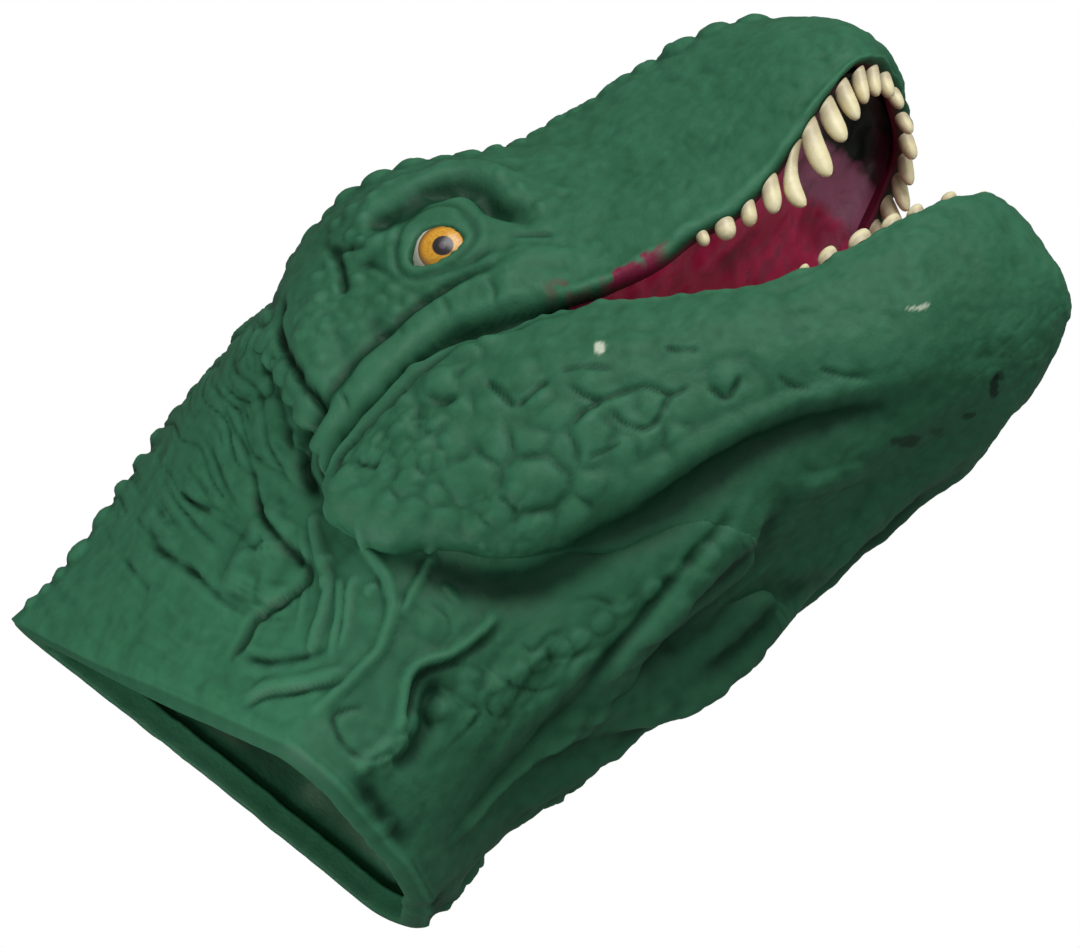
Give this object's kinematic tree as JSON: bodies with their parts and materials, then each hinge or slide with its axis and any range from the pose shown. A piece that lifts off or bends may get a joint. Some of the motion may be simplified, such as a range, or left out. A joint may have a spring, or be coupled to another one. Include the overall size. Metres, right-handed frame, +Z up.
{
  "type": "dinosaur hand puppet",
  "caption": "Soft rubber dinosaur head hand puppet, hollow for a hand, with scaly green skin, toothed jaws held open and a lower jaw that pivots at the mouth corners.",
  "frame": {"origin": "middle of the whole puppet's box, on the plane of the neck's cut rim", "axes": "+Z up along the neck from the rim to the snout, +X to the throat and chin side, +Y to the animal's left"},
  "size_m": [0.131, 0.0934, 0.1828],
  "materials": {
    "skin_green": "soft green rubber with a satin sheen, scales and wrinkles moulded in",
    "mouth_crimson": "soft rubber painted crimson to dark maroon, satin",
    "tooth_cream": "soft rubber painted cream, slightly glossy",
    "eye_amber": "painted amber iris round a dark pupil, glossy"
  },
  "bodies": {
    "head": {"neck_sleeve": "skin_green", "skull_skin": "skin_green", "cheek_bulge_right": "skin_green", "cheek_bulge_left": "skin_green", "throat_fold": "skin_green", "palate_lining": "mouth_crimson", "eyeball_right": "eye_amber", "eyeball_left": "eye_amber", "upper_tooth_right_1": "tooth_cream", "upper_tooth_right_2": "tooth_cream", "upper_tooth_right_3": "tooth_cream", "upper_tooth_right_4": "tooth_cream", "upper_tooth_right_5": "tooth_cream", "upper_tooth_right_6": "tooth_cream", "upper_tooth_right_7": "tooth_cream", "upper_tooth_right_8": "tooth_cream", "upper_tooth_right_9": "tooth_cream", "upper_tooth_right_10": "tooth_cream", "upper_tooth_right_11": "tooth_cream", "upper_tooth_right_12": "tooth_cream", "upper_tooth_left_1": "tooth_cream", "upper_tooth_left_2": "tooth_cream", "upper_tooth_left_3": "tooth_cream", "upper_tooth_left_4": "tooth_cream", "upper_tooth_left_5": "tooth_cream", "upper_tooth_left_6": "tooth_cream", "upper_tooth_left_7": "tooth_cream", "upper_tooth_left_8": "tooth_cream", "upper_tooth_left_9": "tooth_cream", "upper_tooth_left_10": "tooth_cream", "upper_tooth_left_11": "tooth_cream", "upper_tooth_left_12": "tooth_cream"},
    "jaw": {"lower_jaw_skin": "skin_green", "mouth_floor_lining": "mouth_crimson", "lower_tooth_right_1": "tooth_cream", "lower_tooth_right_2": "tooth_cream", "lower_tooth_right_3": "tooth_cream", "lower_tooth_right_4": "tooth_cream", "lower_tooth_right_5": "tooth_cream", "lower_tooth_right_6": "tooth_cream", "lower_tooth_right_7": "tooth_cream", "lower_tooth_left_1": "tooth_cream", "lower_tooth_left_2": "tooth_cream", "lower_tooth_left_3": "tooth_cream", "lower_tooth_left_4": "tooth_cream", "lower_tooth_left_5": "tooth_cream", "lower_tooth_left_6": "tooth_cream", "lower_tooth_left_7": "tooth_cream"}
  },
  "joints": [
    {"name": "jaw_hinge", "type": "hinge", "parent": "head", "child": "jaw", "pos_m": [0.00197, 0, 0.097], "axis": [0, 1, 0], "range_deg": [-12, 5], "stiffness_Nm_per_rad": 1.5, "springref_deg": -0.74}
  ]
}
